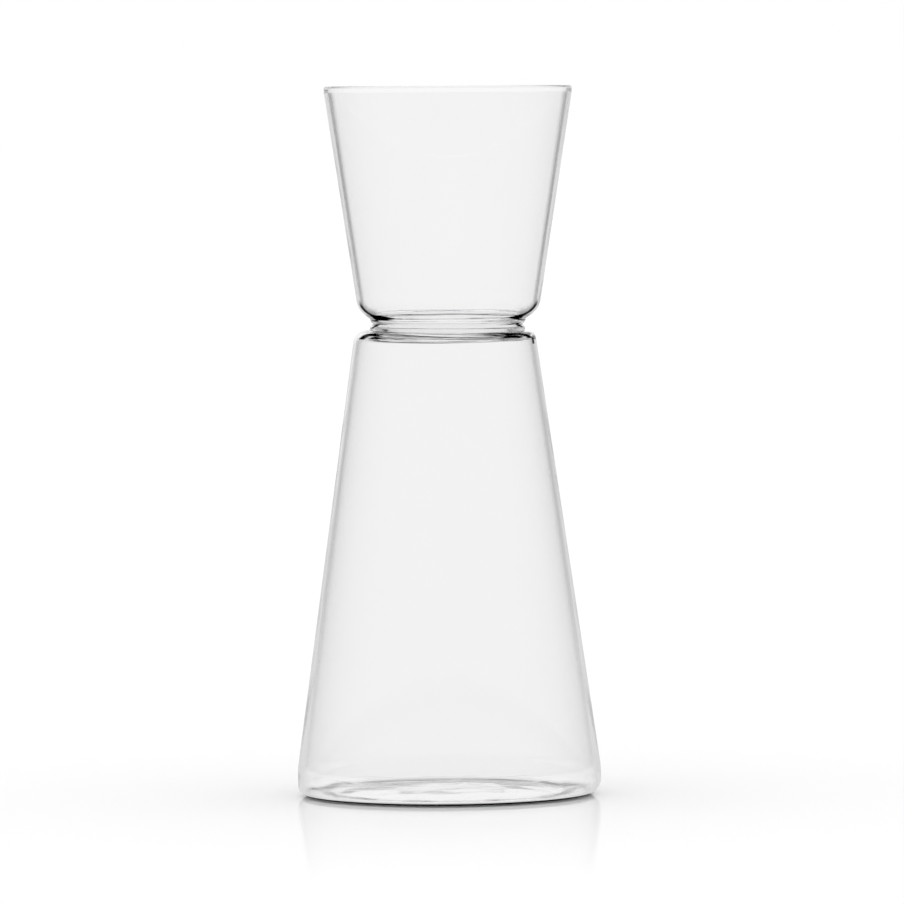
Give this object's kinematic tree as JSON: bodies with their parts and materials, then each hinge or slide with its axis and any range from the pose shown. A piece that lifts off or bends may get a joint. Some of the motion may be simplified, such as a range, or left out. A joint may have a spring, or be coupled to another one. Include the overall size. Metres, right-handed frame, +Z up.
{
  "type": "glass pitcher",
  "caption": "Clear handle-less glass pitcher: tall conical body, pinched waist as a grip, and a flared funnel with a fire-polished lip.",
  "frame": {"origin": "middle of the foot, on the table it stands on", "axes": "+Z up along the pitcher's axis of turning; X and Y are level and alike"},
  "size_m": [0.1026, 0.1026, 0.24],
  "materials": {
    "glass_base": "clear glass, polished, thicker floor",
    "glass_body": "clear glass, blown, gloss",
    "glass_waist": "clear glass, flame-worked, gloss",
    "glass_funnel": "clear glass, blown, gloss",
    "glass_lip": "clear glass, fire-polished edge"
  },
  "bodies": {
    "root": {"base_disc": "glass_base", "lower_body": "glass_body", "body_collar": "glass_waist", "funnel_collar": "glass_waist", "upper_funnel": "glass_funnel", "lip_bead": "glass_lip"}
  },
  "joints": []
}
